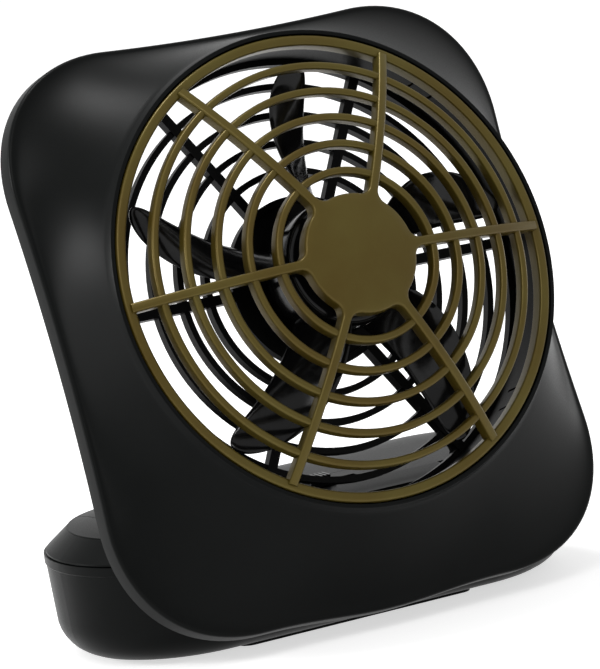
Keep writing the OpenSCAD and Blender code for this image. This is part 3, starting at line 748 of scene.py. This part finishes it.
def head_lead_path(offset):
    """From the motor's terminal along a rear spoke, back to the hinge line and down into the base."""
    angle = math.radians(TERMINAL_ANGLE)
    along = Vector((math.cos(angle), math.sin(angle)))
    across = Vector((-math.sin(angle), math.cos(angle)))
    back = SHROUD_BACK - LEAD_R - 0.05

    def spot(r, n):
        flat = along * r + across * offset
        return head_point(flat.x, flat.y, n) / MM

    x = LEAD_CROSS_X + offset
    places = [
        spot(11, back - 0.3), spot(20, back), spot(45, back), spot(63, back), spot(66.5, back - 2.2),
        Vector((x - 0.4, HINGE.y - 1.2, HINGE.z + 3.2)),
        Vector((x, HINGE.y - 0.3, HINGE.z + 0.4)),
        Vector((x, HINGE.y, HINGE.z - 3)),
        Vector((x, HINGE.y, HINGE.z - 6.5)),
    ]
    return [p * MM for p in smooth_path(places)]


def make_leads(material):
    def build(bm):
        for offset in (-LEAD_OFFSET, LEAD_OFFSET):
            sweep(bm, head_lead_path(offset), LEAD_R * MM)

    piece = smooth_piece("motor_leads", build, material)
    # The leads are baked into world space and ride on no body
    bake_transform(piece)
    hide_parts("head_leads")


# ---------- CAD nodes that keep their shape: softened edges and a material each ----------

WELD_GAP = 0.000002
BEVEL_FROM_ANGLE = 32


def paint_node(name, material):
    """Gives the shown mesh its material and keeps its own exact normals."""
    mesh = nodes[name].data
    mesh.materials.clear()
    mesh.materials.append(material)


def finish_node(name, material, edge):
    """Gives the shown mesh its material, welds it and rounds its edges by edge, in millimetres."""
    paint_node(name, material)
    piece = nodes[name]
    mesh = piece.data
    if "custom_normal" in mesh.attributes:
        mesh.attributes.remove(mesh.attributes["custom_normal"])
    mesh.shade_smooth()
    weld = piece.modifiers.new("weld", "WELD")
    weld.merge_threshold = WELD_GAP
    if edge > 0:
        soft = piece.modifiers.new("soft_edges", "BEVEL")
        soft.width = edge * MM
        soft.segments = 2
        soft.limit_method = "ANGLE"
        soft.angle_limit = math.radians(BEVEL_FROM_ANGLE)
    even = piece.modifiers.new("even_normals", "WEIGHTED_NORMAL")
    even.keep_sharp = True


def finish_nodes():
    shell = shell_black()
    steel = zinc()
    can = motor_steel()
    brass = bronze()
    copper = winding_copper()
    paint_node("rear_housing", rear_black())
    finish_node("base_lower_shell", shell, 0.3)
    finish_node("base_upper_shell", shell, 0.25)
    finish_node("battery_lid", shell, 0.25)
    for name in ("housing_screws", "base_screws", "hinge_pins", "lid_hinge_pins"):
        finish_node(name, steel, 0.1)
    for name in ("cell_spring", "spring_plate", "contact_plate"):
        finish_node(name, steel, 0)
    finish_node("motor_can", can, 0.2)
    finish_node("motor_shaft", can, 0.1)
    finish_node("motor_end_cap", cream_plastic(), 0.15)
    finish_node("motor_magnets", ferrite(), 0.1)
    finish_node("motor_bearings", brass, 0.05)
    finish_node("motor_brushes", brass, 0.05)
    finish_node("motor_clamp", blade_black(), 0.15)
    finish_node("motor_armature", copper, 0.1)
    finish_node("commutator", copper, 0.03)
    finish_node("friction_washers", washer_nylon(), 0.15)
    for name in ("cell_left", "cell_right"):
        finish_node(name, cell_jacket(), 0.2)
    finish_node("switch_body", switch_black(), 0.15)
    finish_node("switch_knob", blade_black(), 0.2)
    finish_node("speed_resistor", ceramic(), 0.2)
    finish_node("base_leads", lead_black(), 0)
    finish_node("foot_pads", pad_rubber(), 0.2)


# ---------- Studio ----------

WORLD_LEVEL = 0.5
FLOOR_HALF = 6
FLOOR_DROP = 0.0002
FLOOR_GREY = 0.8
FLOOR_GLOW = 0.62


def larger(tree, one, two):
    node = tree.nodes.new("ShaderNodeMath")
    node.operation = "MAXIMUM"
    tree.links.new(one, node.inputs[0])
    tree.links.new(two, node.inputs[1])
    return node.outputs[0]


def by_ray(tree, lighting, seen):
    """The value seen for camera, glossy and transmission rays, and lighting for all other rays."""
    path = tree.nodes.new("ShaderNodeLightPath")
    direct = larger(tree, path.outputs["Is Camera Ray"], path.outputs["Is Glossy Ray"])
    direct = larger(tree, direct, path.outputs["Is Transmission Ray"])
    level = tree.nodes.new("ShaderNodeMapRange")
    level.inputs["To Min"].default_value = lighting
    level.inputs["To Max"].default_value = seen
    tree.links.new(direct, level.inputs["Value"])
    return level.outputs["Result"]


def make_world():
    """A white world that lights the object at a lower level than it shows."""
    world = bpy.data.worlds.new("studio")
    bpy.context.scene.world = world
    world.use_nodes = True
    tree = world.node_tree
    background = tree.nodes["Background"]
    background.inputs["Color"].default_value = (1, 1, 1, 1)
    tree.links.new(by_ray(tree, WORLD_LEVEL, 1.0), background.inputs["Strength"])


def make_floor():
    """A pale floor that turns white for the camera and keeps the object's shadow."""
    mesh = bpy.data.meshes.new("floor")
    bm = bmesh.new()
    bmesh.ops.create_grid(bm, x_segments=4, y_segments=4, size=FLOOR_HALF)
    bm.to_mesh(mesh)
    bm.free()
    floor = bpy.data.objects.new("floor", mesh)
    floor.location.z = -FLOOR_DROP
    bpy.context.scene.collection.objects.link(floor)
    material, tree, shader = new_material("floor_pale")
    shader.inputs["Base Color"].default_value = (*grey(FLOOR_GREY), 1)
    shader.inputs["Roughness"].default_value = 0.9
    shader.inputs["Specular IOR Level"].default_value = 0.0
    shader.inputs["Emission Color"].default_value = (1, 1, 1, 1)
    tree.links.new(by_ray(tree, 0.0, FLOOR_GLOW), shader.inputs["Emission Strength"])
    mesh.materials.append(material)


def softbox(name, place, size, power):
    """An area lamp that looks from place to the head; size is its width and height in metres."""
    data = bpy.data.lights.new(name, "AREA")
    data.shape = "RECTANGLE"
    data.size = size[0]
    data.size_y = size[1]
    data.energy = power
    lamp = bpy.data.objects.new(name, data)
    bpy.context.scene.collection.objects.link(lamp)
    lamp.location = place
    lamp.rotation_mode = "QUATERNION"
    lamp.rotation_quaternion = (head_centre - Vector(place)).to_track_quat("-Z", "Y")


def make_lights():
    softbox("key", (-0.9, -0.7, 1.0), (0.6, 0.6), 5)
    softbox("top", (-0.15, 0.22, 1.25), (0.32, 0.32), 8)
    softbox("left_back", (-1.2, 0.5, 0.45), (0.34, 0.34), 9)
    softbox("right", (1.3, 0.15, 0.12), (0.34, 0.2), 1.2)


CAMERA_PLACE = (-0.6543, -1.1788, 0.3299)
CAMERA_TILT = 79.56
CAMERA_ROLL = 6.25
CAMERA_HEADING = -30.3
CAMERA_LENS = 248.6


def make_camera():
    """The camera, in front and to the left; its values were fitted to the guard's rings and spokes."""
    data = bpy.data.cameras.new("camera")
    data.lens = CAMERA_LENS
    data.sensor_width = 36
    data.sensor_fit = "AUTO"
    data.clip_start = 0.05
    data.clip_end = 50
    camera = bpy.data.objects.new("camera", data)
    bpy.context.scene.collection.objects.link(camera)
    camera.location = CAMERA_PLACE
    camera.rotation_euler = [math.radians(a) for a in (CAMERA_TILT, CAMERA_ROLL, CAMERA_HEADING)]
    bpy.context.scene.camera = camera


# ---------- The whole scene ----------

make_camera()
make_world()
make_floor()
make_lights()
finish_nodes()
make_bezel(shell_black())
make_guard(guard_olive())
make_rotor(blade_black())
make_leads(lead_black())

bpy.context.scene.view_settings.view_transform = "Standard"

bpy.context.view_layer.update()
